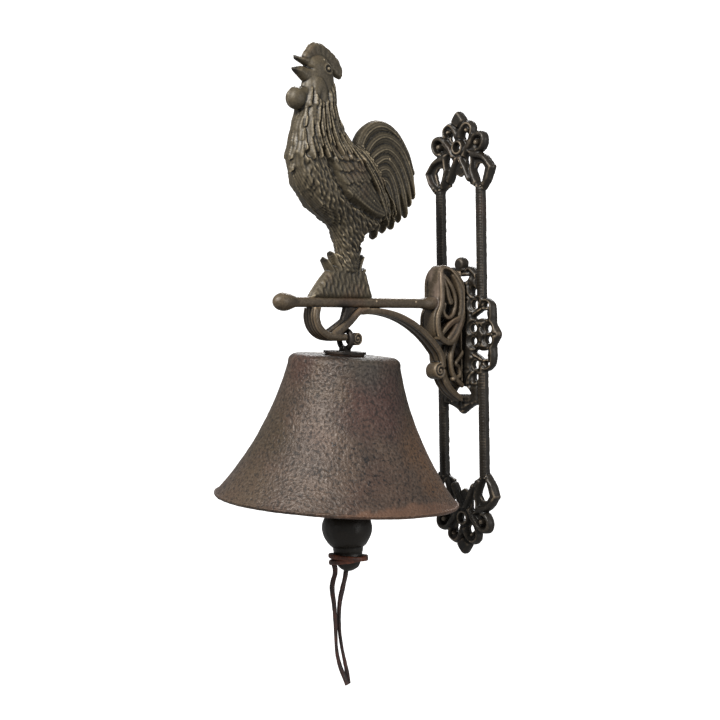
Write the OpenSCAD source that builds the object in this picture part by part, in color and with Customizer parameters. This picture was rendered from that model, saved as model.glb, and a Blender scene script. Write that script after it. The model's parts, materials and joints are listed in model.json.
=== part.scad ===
// Cast iron dinner bell on a wall bracket, with a rooster figure on the arm.
// Origin: middle of the wall plate's back face. +Z up, +Y into the wall.
// The arm stands out of the wall towards -Y.

/* [Wall plate] */
// Thickness of the wall plate
plate_t = 6; // [5:0.5:8]
// Distance from the middle of the plate to each tip
plate_half_h = 160; // [150:1:170]
// Width of each rail
rail_w = 5.8; // [5:0.2:7]
// Distance from the middle of the plate to each rail's centre line
rail_x = 19.8; // [19:0.2:21]
// Height of each wall screw hole above or below the middle
screw_z = 133.5; // [132:0.5:135]
// Radius of each wall screw hole
screw_hole_r = 2.3; // [2:0.1:2.5]

/* [Bracket] */
// How far the knob's centre stands out from the wall
arm_reach = 175; // [170:1:180]
// Height of the bar's centre line
bar_z = 20.8; // [19:0.2:22]
// Height of the bar's section
bar_h = 7; // [6:0.5:8]
// Width of the bar
bar_w = 8; // [7:0.5:9]
// Radius of the knob at the end of the bar
knob_r = 6; // [5:0.5:7]
// Width of the hanger ribbon and the brace
ribbon_w = 12; // [10:0.5:13]
// Thickness of the hanger ribbon and the brace
ribbon_t = 4; // [3.5:0.25:5]
// Width of the scroll against the wall plate
scroll_w = 18; // [16:0.5:19]
// Radius of the hanger where the bell's ring rides on it
hook_r = 2.4; // [2.2:0.1:2.5]

/* [Bell] */
// Distance of the bell's hanging point from the wall
hang_y = 116.8; // [116:0.2:118]
// Height of the bell's hanging point
hang_z = -2.7; // [-3.2:0.1:-2.2]
// Sideways lean of the hanging bell, in degrees
lean_side = 4.7; // [0:0.1:6]
// Lean of the hanging bell away from the wall, in degrees
lean_out = 1.2; // [0:0.1:2]
// Height of the bell
bell_h = 98.6; // [95:0.2:102]
// Outer radius of the bell's lip
lip_r = 83; // [80:0.5:86]
// Outer radius of the bell just under the crown's corner
crown_r = 38; // [36:0.5:40]
// Radius of the flare, seen in section
flare_r = 215; // [190:5:240]
// Thickness of the bell's wall
bell_wall = 4; // [3.5:0.25:5]

/* [Clapper] */
// Radius of the clapper's ball
ball_r = 16.8; // [15:0.2:18]
// Distance from the clapper's eye to the middle of the ball
ball_drop = 72; // [70:0.5:74]
// Lean of the hanging clapper, in degrees
clapper_lean = 2; // [0:0.5:3]
// Width of each lace strand
lace_d = 3.4; // [3:0.1:3.8]

/* [Hidden] */
$fn = 48;

iron = "#4b4238";
bell_iron = "#6b5f56";
steel = "#8a8a88";
leather = "#4a2a1c";

// Drawing planes: a 2D drawing in (Y, Z) spread over the width w in X, and one in (X, Z)
// laid on the wall plane and spread over the thickness t towards -Y.
module side(w) rotate([90, 0, 90]) linear_extrude(w, center = true) children();
module front(t) rotate([90, 0, 0]) linear_extrude(t) children();
module both_sides() { children(); mirror([1, 0, 0]) children(); }

// A band of a ring from angle a0 to a1, drawn in 2D about the point at
module arc_band(at, r, w, a0, a1) {
    reach = (r + w) * 2;
    mid = (a0 + a1) / 2;
    translate(at) intersection() {
        difference() {
            circle(r + w / 2, $fn = 96);
            circle(r - w / 2, $fn = 96);
        }
        polygon([[0, 0], reach * [cos(a0), sin(a0)], reach * [cos(mid), sin(mid)],
                 reach * [cos(a1), sin(a1)]]);
    }
}
// A straight bar with square ends between two points, drawn in 2D
module strip(a, b, w) {
    run = b - a;
    translate(a) rotate(atan2(run[1], run[0])) translate([0, -w / 2]) square([norm(run), w]);
}

// ---------- Wall plate ----------
bolt_zs = [31, -15];
bolt_r = 2.5;
bolt_gap = 0.25;
bolt_head_r = 5;
bolt_head_t = 2.5;
head_sink = 0.3;
mid_z = -1.6;

// Right half of an end ornament, with the tip up
module end_half() {
    difference() {
        union() {
            polygon([[-1, plate_half_h], [0.5, plate_half_h], [3.5, 157], [6, 151.5], [7, 148],
                     [-1, 138]]);
            translate([8.2, 145.5]) circle(8.3);
            translate([19.2, 135.6]) circle(7.9);
            translate([0, screw_z]) circle(8.6);
            polygon([[-1, 150], [8, 144], [14, 138], [15.5, 127], [22, 125.5], [32.6, 115.5],
                     [27.5, 108.5], [rail_x + rail_w / 2, 98], [rail_x - rail_w / 2, 98],
                     [15, 103], [9.5, 106.5], [9.5, 112.5], [6, 115.5], [0.5, 112.5],
                     [-1, 112.5]]);
        }
        translate([6.4, 141.6]) scale([1, 1.4]) circle(1.9);
        translate([9.3, 124.4]) scale([1, 2.2]) circle(1.8);
        polygon([[16, 116.5], [18, 120], [21.5, 120], [23.8, 116.8], [21, 108.5], [19, 108.5]]);
    }
}
// Right half of the middle ornament's scrolls, upper half
module mid_quarter() difference() {
    polygon([[-1, 37], [17, 37], [20, 32], [22.7, 26.4], [28, 25.2], [32, 21], [32.6, 9], [35, 5],
             [37, 1], [37, -1], [-1, -1]]);
    polygon([[13, 12], [16.4, 14.2], [24.4, 16.8], [25.8, 11.2], [19.6, 11.8], [14.5, 10.6]]);
    translate([13.8, 30.4]) scale([1, 1.4]) circle(1.8);
    translate([14.2, 21.6]) circle(2.4);
    translate([12.6, 4.6]) circle(2.2);
    translate([26.6, 4]) circle(2.2);
}
// Right half of the ball and arch above the scrolls
module mid_top() difference() {
    union() {
        translate([0, 51]) circle(5.4);
        polygon([[-1, 48], [8, 49], [13, 46.6], [18, 41], [18, 36], [-1, 36]]);
    }
    polygon([[-1, 42.2], [8.4, 42.2], [7, 40], [4.6, 38.6], [-1, 38.6]]);
}
// Right half of the pointed web below the scrolls, with its tip up
module mid_foot() difference() {
    polygon([[-1, 57], [4.6, 56], [11, 52], [rail_x, 50], [rail_x, 36], [-1, 36]]);
    polygon([[-1, 42.4], [10, 42.4], [8.4, 39.4], [5, 37.4], [-1, 37]]);
}
module screw_holes() {
    for (s = [-1, 1])
        translate([0, 1, s * screw_z]) rotate([90, 0, 0])
            cylinder(h = plate_t + 2, r = screw_hole_r);
}
module wall_plate() color(iron) difference() {
    both_sides() {
        front(plate_t) end_half();
        front(plate_t) mirror([0, 1]) end_half();
        front(plate_t) translate([0, mid_z]) {
            mid_quarter();
            mid_top();
            mirror([0, 1]) mid_quarter();
            mirror([0, 1]) mid_foot();
        }
        front(plate_t) translate([rail_x - rail_w / 2, -104]) square([rail_w, 208]);
    }
    screw_holes();
    for (z = bolt_zs) translate([0, 0, z]) rotate([90, 0, 0]) {
        translate([0, 0, -1]) cylinder(h = plate_t + 2, r = bolt_r + bolt_gap);
        translate([0, 0, -1]) cylinder(h = head_sink + bolt_head_t + 1, r = bolt_head_r + bolt_gap);
    }
}

// ---------- Bracket ----------
strap_t = 3.5;
strap_y = -plate_t - strap_t;
scroll_y = -18.8;
scroll_r = 12.8;
scroll_half = 16;
brace_c = [-94, -70];
brace_r = 85;
tight_r = 16;
brace_end_a = 43;
tight_c = brace_c + (brace_r - tight_r) * [cos(brace_end_a), sin(brace_end_a)];
roll_r = 5.7;
roll_c = [tight_c[0] + tight_r - roll_r + ribbon_t / 2, tight_c[1] - 4];
hang_r = 13;
hang_left = -146.5;
hang_bend = [hang_left + hang_r, hang_z + hang_r];
curl_r = 4.4;
curl_y = -109.3;
rod_from = -hang_y - 4;
heel_t = 4.4;

// Stadium outline of the scroll, grown by g
module scroll_outline(g) {
    r = scroll_r + g;
    for (s = [-1, 1]) translate([scroll_y, bar_z - 1 + s * scroll_half]) circle(r, $fn = 96);
    translate([scroll_y - r, bar_z - 1 - scroll_half]) square([2 * r, 2 * scroll_half]);
}
module bracket_side() {
    side(bar_w) translate([-arm_reach, bar_z - bar_h / 2])
        square([arm_reach + scroll_y - scroll_r + 2, bar_h]);
    side(ribbon_w) {
        arc_band(brace_c, brace_r, ribbon_t, brace_end_a, 97);
        arc_band(tight_c, tight_r, ribbon_t, 0, brace_end_a);
        translate(roll_c) circle(roll_r);
        strip([hang_left, bar_z - bar_h / 2 + 1], [hang_left, hang_bend[1]], ribbon_t);
        arc_band(hang_bend, hang_r, ribbon_t, 180, 270);
        strip([hang_bend[0], hang_z], [rod_from, hang_z], ribbon_t);
        strip([-101, 15], [-118, 9], ribbon_t);
        strip([-117, 10.2], [-131, -1.5], ribbon_t);
    }
    side(scroll_w) {
        difference() { scroll_outline(0); scroll_outline(-strap_t); }
        translate([scroll_y, 15]) difference() { circle(6.5); circle(3.4); }
        strip([scroll_y - 5, 18], [scroll_y - scroll_r + 1, 22], strap_t);
        arc_band([-22, 9], 14.5, strap_t, 138, 236);
    }
    side(14) {
        translate([strap_y, -36]) square([strap_t, 80]);
        strip([-33, -10], [strap_y + 1, -40], ribbon_t);
        strip([-33, -12], [-22, -5], strap_t);
    }
    side(11) {
        strip([-30, -27], [-19.5, -40], heel_t);
        strip([-21, -38.5], [-5, -48.5], heel_t);
    }
}
module bracket() color(iron) difference() {
    union() {
        bracket_side();
        translate([0, -arm_reach, bar_z]) sphere(knob_r);
        translate([0, rod_from - 1, hang_z]) rotate([-90, 0, 0])
            cylinder(h = curl_y - rod_from + 1, r = hook_r);
        translate([-4.5, curl_y, hang_z - 1.2]) rotate([0, 90, 0]) cylinder(h = 9, r = curl_r);
    }
    translate([-scroll_w / 2, -plate_t, -60]) cube([scroll_w, plate_t, 120]);
    for (z = bolt_zs) translate([0, 0, z]) rotate([90, 0, 0])
        cylinder(h = -strap_y + 0.01, r = bolt_r + bolt_gap);
    for (y = pin_ys) translate([0, y, bar_z - 2])
        cylinder(h = bar_h, r = pin_r + pin_gap);
}
bolt_tip = 16;
washer_t = 1;
nut_t = 4;
module bracket_bolts() color(steel) for (z = bolt_zs) translate([0, 0, z]) rotate([90, 0, 0]) {
    translate([0, 0, head_sink]) cylinder(h = bolt_head_t, r = bolt_head_r);
    translate([0, 0, 1]) cylinder(h = bolt_tip - 1, r = bolt_r);
}
module bracket_washers() color(steel) for (z = bolt_zs)
    translate([0, strap_y, z]) rotate([90, 0, 0]) difference() {
        cylinder(h = washer_t, r = 4.6);
        translate([0, 0, -1]) cylinder(h = washer_t + 2, r = bolt_r + bolt_gap);
    }
module hex_nut(across, h, bore) difference() {
    cylinder(h = h, r = across / sqrt(3), $fn = 6);
    translate([0, 0, -1]) cylinder(h = h + 2, r = bore);
}
module bracket_nuts() color(steel) for (z = bolt_zs)
    translate([0, strap_y - washer_t, z]) rotate([90, 0, 0]) hex_nut(8, nut_t, bolt_r);

// ---------- Rooster ----------
pin_ys = [-134, -112];
pin_r = 2;
pin_gap = 0.1;
pin_half = 3.5;
mound_base = bar_z + bar_h / 2;

// An ellipsoid with half axes rx, ry and rz
module blob(y, z, ry, rz, rx) translate([0, y, z]) scale([rx, ry, rz]) sphere(1, $fn = 24);

module rooster_body() {
    hull() {
        blob(-142, 110, 20, 20, 11);
        blob(-114, 98, 26, 26, 14);
        blob(-100, 84, 14, 16, 9);
    }
    hull() {
        blob(-143, 116, 17, 18, 10);
        blob(-139, 154, 13.5, 10, 8);
    }
    hull() {
        blob(-139, 154, 13.5, 10, 8);
        blob(-137, 174, 10, 9, 6.5);
    }
    hull() {
        blob(-112, 108, 12, 14, 8);
        blob(-84, 130, 15, 14, 4);
        blob(-62, 112, 12, 14, 4);
    }
    hull() {
        blob(-62, 106, 13, 14, 4);
        blob(-72, 82, 12, 9, 3.5);
        blob(-96, 80, 10, 12, 6);
    }
    hull() {
        blob(-115, 76, 12, 9, 8);
        blob(-115, 52, 6, 5, 4.5);
    }
}
module rooster_trim() {
    side(4) {
        polygon([[-150, 182], [-147, 189], [-140, 193], [-130, 193], [-121, 187], [-117, 177],
                 [-120, 171], [-130, 176]]);
        polygon([[-144, 182], [-158.5, 182.5], [-149.5, 177], [-160.5, 174.5], [-150, 169],
                 [-142, 168]]);
    }
    side(8) polygon([[-144, mound_base], [-130, 41.5], [-137.5, 50], [-129, 47], [-131.5, 55],
                     [-122, 49], [-108, 49], [-101.5, 58], [-103, 50], [-99, 51], [-102, 43],
                     [-97, 41], [-99, 37], [-95.5, mound_base]]);
    blob(-158.5, 154, 7, 8, 5);
}
module rooster() color(iron) difference() {
    union() {
        rooster_body();
        rooster_trim();
    }
    for (y = pin_ys) translate([0, y, mound_base - 1]) cylinder(h = 5, r = pin_r + pin_gap);
}
module rooster_pins() color(steel) for (y = pin_ys)
    translate([0, y, mound_base - pin_half]) cylinder(h = 2 * pin_half, r = pin_r);

// ---------- Bell ----------
// Everything on the bell is drawn hanging from its hanging point, along its own axis
module hung() translate([0, -hang_y, hang_z]) rotate([-lean_out, lean_side, 0]) children();
// Depths below the hanging point
ring_c = 1.5;
ring_in = 4.2;
ring_wire = 1.9;
ring_mid = ring_in + ring_wire;
plain_t = 1.4;
stack_d = 9.4;
crown_d = stack_d + 2 * plain_t;
crown_t = 5;
shank_r = 4;
shank_hole = 4.4;
inner_d = crown_d + crown_t;
inner_washer_t = 1.6;
nut_d = inner_d + inner_washer_t;
nut_h = 6.5;
eye_nut_d = nut_d + nut_h;
eye_body_h = 6;
eye_mid = 6;
eye_wire = 1.9;
eye_c = eye_nut_d + eye_body_h + eye_mid - 0.9;
shank_end = eye_nut_d + eye_body_h - 0.5;

// Centre of the flare's circle, from the corner under the crown and the lip
flare_top = [crown_r, crown_d + 5.9];
flare_lip = [lip_r + 1, crown_d + bell_h];
flare_chord = flare_lip - flare_top;
flare_mid = (flare_lip + flare_top) / 2;
flare_off = sqrt(flare_r * flare_r - norm(flare_chord) * norm(flare_chord) / 4);
flare_c = flare_mid + flare_off * [flare_chord[1], -flare_chord[0]] / norm(flare_chord);

module ring(mid, wire) rotate_extrude($fn = 96) translate([mid, 0]) circle(wire, $fn = 32);
module disc(d, h, r, hole) translate([0, 0, -d - h]) difference() {
    cylinder(h = h, r = r);
    translate([0, 0, -1]) cylinder(h = h + 2, r = hole);
}
// Half section of the bell, radius against height below the hanging point
module bell_section() {
    lip_round = 2;
    corner_r = 4;
    top = -crown_d;
    intersection() {
        translate([flare_c[0], -flare_c[1]]) difference() {
            circle(flare_r + bell_wall, $fn = 360);
            circle(flare_r, $fn = 360);
        }
        translate([10, top - bell_h]) square([lip_r - 10, bell_h - corner_r]);
    }
    intersection() {
        translate([flare_c[0], -flare_c[1]]) difference() {
            circle(flare_r + 40, $fn = 360);
            circle(flare_r, $fn = 360);
        }
        union() {
            translate([shank_hole, top - crown_t])
                square([crown_r - corner_r - shank_hole - 1, crown_t]);
            translate([crown_r - corner_r - 1, top - corner_r]) circle(corner_r);
            translate([crown_r - 7, top - 8]) square([8, 8 - corner_r]);
        }
    }
    translate([lip_r - lip_round, top - bell_h + lip_round]) circle(lip_round);
}
module bell() color(bell_iron) hung() rotate_extrude($fn = 180) bell_section();
module bell_eye_bolt() color(steel) hung() {
    translate([0, 0, -ring_c]) rotate([90, 0, 0]) ring(ring_mid, ring_wire);
    translate([0, 0, -shank_end]) cylinder(h = shank_end - ring_c - ring_in - 1.2, r = shank_r);
}
module crown_washer() color(iron) hung() disc(stack_d, plain_t, 14.5, shank_hole);
module leather_washer() color(leather) hung() disc(stack_d + plain_t, plain_t, 13, shank_hole);
module inner_washer() color(steel) hung() disc(inner_d, inner_washer_t, 12, shank_hole);
module inner_nut() color(steel) hung() translate([0, 0, -nut_d - nut_h])
    hex_nut(13, nut_h, shank_r);
module clapper_eye_nut() color(steel) hung() difference() {
    union() {
        translate([0, 0, -eye_nut_d - eye_body_h])
            cylinder(h = eye_body_h, r = 13 / sqrt(3), $fn = 6);
        translate([0, 0, -eye_c]) rotate([90, 0, 0]) ring(eye_mid, eye_wire);
    }
    translate([0, 0, -eye_nut_d - eye_body_h + 0.5]) cylinder(h = eye_body_h, r = shank_r);
}

// ---------- Clapper ----------
// Direction of the bell's axis, and the lowest point of the eye's wire
bell_axis = [-cos(lean_out) * sin(lean_side), -sin(lean_out), -cos(lean_out) * cos(lean_side)];
link_pivot = [0, -hang_y, hang_z] + eye_c * bell_axis - [0, 0, eye_mid];
link_wire = 1.6;
link_in = 2.5;
link_mid = link_in + link_wire;
link_len = 14;
// Middle of the link's lowest wire, which the clapper's eye hangs on
clapper_pivot = link_pivot - [0, 0, link_len];
rod_eye_wire = 1.8;
rod_eye_mid = 4.4;
rod_eye_d = rod_eye_mid - link_wire - rod_eye_wire - 0.4;
rod_r = 2.8;
tail_r = 10;
tail_d = ball_drop + 19;
groove_d = tail_d + 1.6;
dome_r = 9;
dome_d = groove_d - 0.4;

module swung() translate(clapper_pivot) rotate([0, -clapper_lean, 0]) children();
module half_ring(mid, wire) rotate_extrude(angle = 180, $fn = 96)
    translate([mid, 0]) circle(wire, $fn = 32);
module clapper_link() color(steel) {
    low_bend = clapper_pivot + [0, 0, link_mid];
    translate(link_pivot) rotate([90, 0, 90]) half_ring(link_mid, link_wire);
    translate(low_bend) rotate([-90, 0, 90]) half_ring(link_mid, link_wire);
    for (s = [-1, 1]) translate(low_bend + [0, s * link_mid, 0])
        cylinder(h = link_len - link_mid, r = link_wire, $fn = 32);
}
module clapper_rod() color(steel) swung() {
    translate([0, 0, -rod_eye_d]) rotate([90, 0, 0]) ring(rod_eye_mid, rod_eye_wire);
    translate([0, 0, -ball_drop]) cylinder(h = ball_drop - rod_eye_mid, r = rod_r);
}
module clapper_ball() color(iron) swung() difference() {
    union() {
        translate([0, 0, -ball_drop]) sphere(ball_r, $fn = 96);
        translate([0, 0, -ball_drop - 1]) rotate([180, 0, 0])
            cylinder(h = tail_d - ball_drop, r = tail_r);
        translate([0, 0, -dome_d]) sphere(dome_r);
    }
    translate([0, 0, -ball_drop - 0.2]) cylinder(h = ball_r + 1, r = rod_r);
}
hitch_t = 2.4;
module lace_hitch() color(leather) swung() for (k = [0, 1])
    translate([0, 0, -groove_d - 1 + 2.1 * k]) rotate_extrude($fn = 72) difference() {
        translate([tail_r + 1.7, 0]) circle(1.9, $fn = 32);
        square([2 * (tail_r + 0.05), 8], center = true);
    }

// Routes of the two strands, below the clapper's eye: [across the view, towards the view, down]
left_route = [
    [-7.6, 7.2, 95.6], [-6.8, 6.4, 99.2], [-7, 5, 103], [-8.2, 3.8, 107], [-9, 3, 111.5],
    [-8.8, 2.4, 117], [-8, 2, 123], [-7.5, 2, 130], [-7.2, 2, 138], [-7, 2, 146],
    [-6.7, 2, 154], [-5.6, 2, 161], [-3.8, 2, 167.5], [-1.4, 2, 173.5], [0.3, 2, 178]
];
right_route = [
    [1.5, -8.4, 95.6], [0.9, -7.4, 99.5], [0.2, -6, 104], [-0.8, -4.8, 109], [-2.4, -3.8, 115],
    [-3.8, -3, 121], [-4.6, -2.5, 128], [-4.8, -2.2, 136], [-4.4, -2.2, 144], [-3.4, -2.2, 152],
    [-2, -2.2, 160], [-0.4, -2.2, 168], [0.5, -2.2, 173.5], [0.8, -2.2, 178]
];
view_turn = 47;
lace_sides = 8;

function cross_unit(a, b) = let (c = cross(a, b)) c / norm(c);
function run_at(p, i) = p[min(i + 1, len(p) - 1)] - p[max(i - 1, 0)];
function route_point(p) = [p[0] * cos(view_turn) + p[1] * sin(view_turn),
                           p[0] * sin(view_turn) - p[1] * cos(view_turn), -p[2]];
module swept(route, r) {
    path = [for (p = route) route_point(p)];
    n = len(path);
    rings = [for (i = [0:n - 1]) let (run = run_at(path, i), u = cross_unit(run, [1, 0, 0]),
                                      v = cross_unit(run, u))
        for (k = [0:lace_sides - 1]) let (a = 360 * k / lace_sides)
            path[i] + r * (cos(a) * u + sin(a) * v)];
    sides = [for (i = [0:n - 2]) for (k = [0:lace_sides - 1]) let (j = (k + 1) % lace_sides)
        [i * lace_sides + k, (i + 1) * lace_sides + k, (i + 1) * lace_sides + j,
         i * lace_sides + j]];
    first = [for (k = [0:lace_sides - 1]) k];
    last = [for (k = [lace_sides - 1:-1:0]) (n - 1) * lace_sides + k];
    polyhedron(rings, concat(sides, [first], [last]), convexity = 6);
}
module lace_left() color(leather) translate(clapper_pivot) swept(left_route, lace_d / 2);
module lace_right() color(leather) translate(clapper_pivot) swept(right_route, lace_d / 2);

wall_plate();
bracket();
bracket_bolts();
bracket_washers();
bracket_nuts();
rooster();
rooster_pins();
bell();
bell_eye_bolt();
crown_washer();
leather_washer();
inner_washer();
inner_nut();
clapper_eye_nut();
clapper_link();
clapper_rod();
clapper_ball();
lace_hitch();
lace_left();
lace_right();
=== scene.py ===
"""Looks of a cast iron dinner bell on a rooster bracket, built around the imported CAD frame."""
import json
import math

import bpy
import numpy as np
import openvdb
from mathutils import Matrix, Vector


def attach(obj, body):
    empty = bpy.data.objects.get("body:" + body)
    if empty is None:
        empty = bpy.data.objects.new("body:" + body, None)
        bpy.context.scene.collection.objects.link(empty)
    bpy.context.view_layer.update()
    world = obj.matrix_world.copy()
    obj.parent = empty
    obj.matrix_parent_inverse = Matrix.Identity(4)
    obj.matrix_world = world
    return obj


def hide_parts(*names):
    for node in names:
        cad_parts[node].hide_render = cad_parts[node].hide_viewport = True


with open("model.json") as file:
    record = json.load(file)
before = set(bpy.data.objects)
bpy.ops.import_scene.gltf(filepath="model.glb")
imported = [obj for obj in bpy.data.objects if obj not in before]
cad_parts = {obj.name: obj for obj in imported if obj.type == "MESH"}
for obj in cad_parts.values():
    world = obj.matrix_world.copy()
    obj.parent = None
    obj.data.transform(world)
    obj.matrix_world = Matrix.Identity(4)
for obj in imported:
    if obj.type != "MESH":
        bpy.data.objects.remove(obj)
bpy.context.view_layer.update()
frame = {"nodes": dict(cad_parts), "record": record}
MM = 0.001
# A distance in mm past which nothing is drawn, and the castings' grid
FAR = 30.0
GRID_STEP = 0.5

JOINTS = {joint["name"]: joint for joint in frame["record"]["behaviour"]["joints"]}
CLAPPER_PIVOT = np.array(JOINTS["clapper_sway"]["pos_m"]) / MM
HANG_POINT = np.array(JOINTS["bell_swing"]["pos_m"]) / MM

# Sizes in mm that the CAD part also has
PLATE_T = 6.0
SCREW_Z = 133.5
RAIL_X = 19.8
RAIL_HALF = 3.4
BAR_Z = 20.8
ROD_Z = -2.7
MIDDLE_Z = -1.6
BOLT_HEIGHTS = (31, -15)
BOLT_HOLE_R = 2.75
LEAN_SIDE = math.radians(4.7)
LEAN_OUT = math.radians(1.2)
CLAPPER_LEAN = math.radians(2.0)
VIEW_TURN = math.radians(47.0)
CAMERA_AT = (0.79508, -0.84532, -0.01136)


def as_seen(across, toward, down):
    """A step given as the camera sees it: across the view, towards it, and down."""
    c, s = math.cos(VIEW_TURN), math.sin(VIEW_TURN)
    return np.array([across * c + toward * s, across * s - toward * c, -down])


# ---------- Camera ----------
def make_camera():
    dip = math.radians(0.36)
    roll = math.radians(0.85)
    across = Vector((math.cos(VIEW_TURN), math.sin(VIEW_TURN), 0))
    inward = Vector((-math.sin(VIEW_TURN), math.cos(VIEW_TURN), 0))
    upward = Vector((0, 0, 1))
    forward = inward * math.cos(dip) - upward * math.sin(dip)
    top = upward * math.cos(dip) + inward * math.sin(dip)
    right = across * math.cos(roll) - top * math.sin(roll)
    top = top * math.cos(roll) + across * math.sin(roll)
    data = bpy.data.cameras.new("camera")
    data.lens = 80
    data.sensor_width = 36
    data.clip_start = 0.05
    camera = bpy.data.objects.new("camera", data)
    place = Matrix((right, top, -forward)).transposed().to_4x4()
    place.translation = Vector(CAMERA_AT)
    camera.matrix_world = place
    bpy.context.scene.collection.objects.link(camera)
    bpy.context.scene.camera = camera


# ---------- Meshes ----------
def smooth_object(mesh):
    mesh.shade_smooth()
    obj = bpy.data.objects.new(mesh.name, mesh)
    bpy.context.scene.collection.objects.link(obj)
    return obj


def face_mesh(name, points, faces):
    """A mesh object from points in mm and faces of any kind."""
    mesh = bpy.data.meshes.new(name)
    mesh.from_pydata((points * MM).tolist(), [], faces)
    mesh.validate()
    mesh.update()
    return smooth_object(mesh)


def grid_mesh(name, points, quads):
    """A mesh object from points in mm and quads, made the fast way."""
    mesh = bpy.data.meshes.new(name)
    mesh.vertices.add(len(points))
    mesh.vertices.foreach_set("co", (np.asarray(points) * MM).astype(np.float32).ravel())
    mesh.loops.add(4 * len(quads))
    mesh.loops.foreach_set("vertex_index", np.asarray(quads, np.int32).ravel())
    mesh.polygons.add(len(quads))
    mesh.polygons.foreach_set("loop_start", np.arange(0, 4 * len(quads), 4, dtype=np.int32))
    mesh.update(calc_edges=True)
    return smooth_object(mesh)


# ---------- Flat drawings, as signed distances in mm that are negative inside ----------
def soft_min(a, b, blend):
    share = np.clip(0.5 + 0.5 * (b - a) / blend, 0, 1)
    return b + (a - b) * share - blend * share * (1 - share)


def soft_max(a, b, blend):
    return -soft_min(-a, -b, blend)


def dot(u, v, at, radius):
    return np.hypot(u - at[0], v - at[1]) - radius


def oval(u, v, at, half_u, half_v, turn=0.0):
    c, s = math.cos(math.radians(turn)), math.sin(math.radians(turn))
    du, dv = u - at[0], v - at[1]
    p, q = (du * c + dv * s) / half_u, (dv * c - du * s) / half_v
    return (np.hypot(p, q) - 1) * min(half_u, half_v)


def curve(points, steps=8, closed=False):
    """A smooth curve through points, with this many steps between two of them."""
    points = np.array(points, float)
    count = len(points)
    ends = count if closed else count - 1
    run = []
    for i in range(ends):
        if closed:
            a, b, c, d = (points[(i + k) % count] for k in (-1, 0, 1, 2))
        else:
            b, c = points[i], points[i + 1]
            a = points[i - 1] if i else 2 * b - c
            d = points[i + 2] if i + 2 < count else 2 * c - b
        for t in np.arange(steps) / steps:
            run.append(0.5 * (2 * b + (c - a) * t + (2 * a - 5 * b + 4 * c - d) * t * t
                              + (3 * b - a - 3 * c + d) * t ** 3))
    if not closed:
        run.append(points[-1])
    return np.array(run)


def arc(at, radius, start, stop, steps=16):
    turns = np.radians(np.linspace(start, stop, steps + 1))
    return np.stack([at[0] + radius * np.cos(turns), at[1] + radius * np.sin(turns)], 1)


def along(u, v, points):
    """Distance from a run of points, how far along it the nearest place is (0 to 1), and side."""
    points = np.asarray(points, float)
    lengths = np.hypot(*(points[1:] - points[:-1]).T)
    total = lengths.sum()
    best = np.full(np.broadcast(u, v).shape, np.inf)
    part = np.zeros_like(best)
    side = np.zeros_like(best)
    done = 0.0
    for (a, b), length in zip(zip(points[:-1], points[1:]), lengths):
        if length < 1e-9:
            continue
        du, dv = u - a[0], v - a[1]
        way = (b - a) / length
        t = np.clip(du * way[0] + dv * way[1], 0, length)
        gap = np.hypot(du - t * way[0], dv - t * way[1])
        near = gap < best
        best = np.where(near, gap, best)
        part = np.where(near, (done + t) / total, part)
        side = np.where(near, dv * way[0] - du * way[1], side)
        done += length
    return best, part, side


def band(u, v, points, width, end=None):
    """A band that follows points, with its half width going from width to end."""
    gap, part, _ = along(u, v, points)
    end = width if end is None else end
    return gap - (width + (end - width) * part)


def shape(u, v, points):
    """A closed outline."""
    points = np.asarray(points, float)
    best = np.full(np.broadcast(u, v).shape, np.inf)
    inside = np.zeros(best.shape, bool)
    for a, b in zip(points, np.roll(points, -1, axis=0)):
        way = b - a
        du, dv = u - a[0], v - a[1]
        t = np.clip((du * way[0] + dv * way[1]) / max(way @ way, 1e-12), 0, 1)
        best = np.minimum(best, (du - t * way[0]) ** 2 + (dv - t * way[1]) ** 2)
        if a[1] != b[1]:
            crosses = (a[1] <= v) != (b[1] <= v)
            inside ^= crosses & (du < (v - a[1]) * way[0] / way[1])
    return np.where(inside, -1, 1) * np.sqrt(best)


def ridge(u, v, points, height, soft=0.6):
    """A raised line along points, with this height in mm."""
    return height * np.exp(-(along(u, v, points)[0] / soft) ** 2)


def union(*parts, blend=0.0):
    result = parts[0]
    for part in parts[1:]:
        result = soft_min(result, part, blend) if blend else np.minimum(result, part)
    return result


def dome(inside, radius):
    """Height of a rounded edge, 0 at the edge and 1 from this radius inwards."""
    t = np.clip(inside / radius, 0, 1)
    return np.sqrt(1 - (1 - t) ** 2)


def blur(values, times=1):
    for _ in range(times):
        for axis in (0, 1):
            values = (np.roll(values, 1, axis) + 2 * values + np.roll(values, -1, axis)) / 4
    return values


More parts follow.
